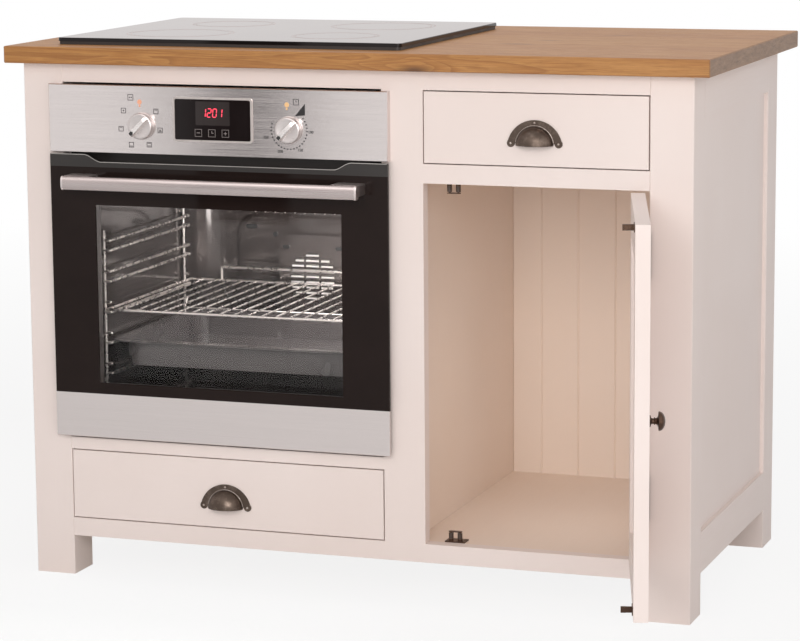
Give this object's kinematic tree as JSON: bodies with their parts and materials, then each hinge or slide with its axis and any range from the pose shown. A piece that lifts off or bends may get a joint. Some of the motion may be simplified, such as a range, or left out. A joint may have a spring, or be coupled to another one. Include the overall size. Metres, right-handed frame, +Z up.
{
  "type": "stove surround cabinet",
  "caption": "Painted kitchen cabinet on square legs with built-in oven and glass hob, wooden worktop, inset drawers with cup pulls and a cupboard with an open door.",
  "frame": {"origin": "on the floor, under the middle of the front left leg", "axes": "+X to the right seen from the front, +Y towards the back, +Z up"},
  "size_m": [1.2072, 0.9921, 0.9095],
  "materials": {
    "painted_wood": "satin cream paint",
    "worktop_wood": "oiled staves",
    "runner_wood": "bare hardwood",
    "drawer_wood": "clear matt lacquer",
    "hob_glass": "polished black",
    "door_glass": "polished black with a clear window",
    "black_glass": "polished black",
    "clear_glass": "clear",
    "dark_steel": "satin black",
    "plated_steel": "zinc plated",
    "stainless_steel": "brushed",
    "polished_steel": "polished",
    "knob_metal": "satin",
    "oven_enamel": "glossy grey enamel",
    "heater": "matt ceramic fibre",
    "black_plastic": "matt",
    "trim_plastic": "semi-gloss",
    "seal_rubber": "matt",
    "pewter": "antique",
    "dark_bronze": "antique",
    "roller_plastic": "matt"
  },
  "bodies": {
    "cabinet": {"leg_front_left": "painted_wood", "leg_front_right": "painted_wood", "back_legs": "painted_wood", "front_long_rails": "painted_wood", "centre_stile": "painted_wood", "front_short_rails": "painted_wood", "side_rails": "painted_wood", "side_panels": "painted_wood", "back_rails": "painted_wood", "back_boards": "painted_wood", "centre_partition": "painted_wood", "cupboard_floor": "painted_wood", "drawer_divider": "painted_wood", "oven_deck": "painted_wood", "drawer_runners": "runner_wood", "worktop": "worktop_wood", "worktop_buttons": "runner_wood", "hob_glass": "hob_glass", "hob_case": "dark_steel", "hob_heaters": "heater", "hob_clamps": "plated_steel", "oven_casing": "plated_steel", "oven_cavity": "oven_enamel", "control_panel": "stainless_steel", "display_bezel": "polished_steel", "display_glass": "black_glass", "control_switches": "black_plastic", "fan_cover": "oven_enamel", "fan_motor": "dark_steel", "side_racks": "polished_steel", "door_seal": "seal_rubber", "oven_hinges": "plated_steel", "butt_hinges_fixed": "dark_bronze", "catch_bodies": "dark_bronze"},
    "function_knob": {"function_knob": "knob_metal"},
    "thermostat_knob": {"thermostat_knob": "knob_metal"},
    "fan_rotor": {"fan_rotor": "plated_steel"},
    "wire_shelf": {"wire_shelf": "polished_steel"},
    "oven_tray": {"oven_tray": "oven_enamel"},
    "oven_door": {"oven_door_glass": "door_glass", "oven_door_strip": "stainless_steel", "oven_door_trim": "trim_plastic", "oven_door_frame": "dark_steel", "oven_door_inner_glass": "clear_glass", "oven_door_handle": "stainless_steel"},
    "wide_drawer": {"wide_drawer_front": "painted_wood", "wide_drawer_box": "drawer_wood", "wide_drawer_pull": "pewter"},
    "narrow_drawer": {"narrow_drawer_front": "painted_wood", "narrow_drawer_box": "drawer_wood", "narrow_drawer_pull": "pewter"},
    "cupboard_door": {"cupboard_door_frame": "painted_wood", "cupboard_door_panel": "painted_wood", "cupboard_door_knob": "dark_bronze", "cupboard_door_strikes": "dark_bronze", "butt_hinges_moving": "dark_bronze"},
    "catch_roller_bottom_left": {"catch_roller_bottom_left": "roller_plastic"},
    "catch_roller_bottom_right": {"catch_roller_bottom_right": "roller_plastic"},
    "catch_roller_top_left": {"catch_roller_top_left": "roller_plastic"},
    "catch_roller_top_right": {"catch_roller_top_right": "roller_plastic"}
  },
  "joints": [
    {"name": "oven_door_hinge", "type": "hinge", "parent": "cabinet", "child": "oven_door", "pos_m": [0.3135, -0.039, 0.247], "axis": [1, 0, 0], "range_deg": [0, 90], "stiffness_Nm_per_rad": 12, "springref_deg": -11.46},
    {"name": "wide_drawer_slide", "type": "slide", "parent": "cabinet", "child": "wide_drawer", "axis": [0, -1, 0], "range_m": [0, 0.38]},
    {"name": "narrow_drawer_slide", "type": "slide", "parent": "cabinet", "child": "narrow_drawer", "axis": [0, -1, 0], "range_m": [0, 0.38]},
    {"name": "cupboard_door_hinge", "type": "hinge", "parent": "cabinet", "child": "cupboard_door", "pos_m": [1.037, -0.04, 0.101], "axis": [0, 0, 1], "range_deg": [-106, 74]},
    {"name": "function_knob_turn", "type": "hinge", "parent": "cabinet", "child": "function_knob", "pos_m": [0.1839, -0.049, 0.7705], "axis": [0, 1, 0], "range_deg": [0, 315]},
    {"name": "thermostat_knob_turn", "type": "hinge", "parent": "cabinet", "child": "thermostat_knob", "pos_m": [0.4431, -0.049, 0.7705], "axis": [0, 1, 0], "range_deg": [0, 215]},
    {"name": "fan_spin", "type": "hinge", "parent": "cabinet", "child": "fan_rotor", "pos_m": [0.3135, 0.415, 0.463], "axis": [0, 1, 0], "continuous": true},
    {"name": "wire_shelf_slide", "type": "slide", "parent": "cabinet", "child": "wire_shelf", "axis": [0, -1, 0], "range_m": [0, 0.283]},
    {"name": "oven_tray_slide", "type": "slide", "parent": "cabinet", "child": "oven_tray", "axis": [0, -1, 0], "range_m": [0, 0.189]},
    {"name": "catch_roller_bottom_left_spin", "type": "hinge", "parent": "cabinet", "child": "catch_roller_bottom_left", "pos_m": [0.701, -0.007, 0.11], "axis": [0, 0, 1], "continuous": true},
    {"name": "catch_roller_bottom_right_spin", "type": "hinge", "parent": "cabinet", "child": "catch_roller_bottom_right", "pos_m": [0.716, -0.007, 0.11], "axis": [0, 0, 1], "continuous": true},
    {"name": "catch_roller_top_left_spin", "type": "hinge", "parent": "cabinet", "child": "catch_roller_top_left", "pos_m": [0.701, -0.007, 0.679], "axis": [0, 0, 1], "continuous": true},
    {"name": "catch_roller_top_right_spin", "type": "hinge", "parent": "cabinet", "child": "catch_roller_top_right", "pos_m": [0.716, -0.007, 0.679], "axis": [0, 0, 1], "continuous": true}
  ],
  "couplings": [
    {"joint": "wire_shelf_slide", "follows": "oven_door_hinge", "m_per_rad": 0.18},
    {"joint": "oven_tray_slide", "follows": "oven_door_hinge", "m_per_rad": 0.12}
  ]
}
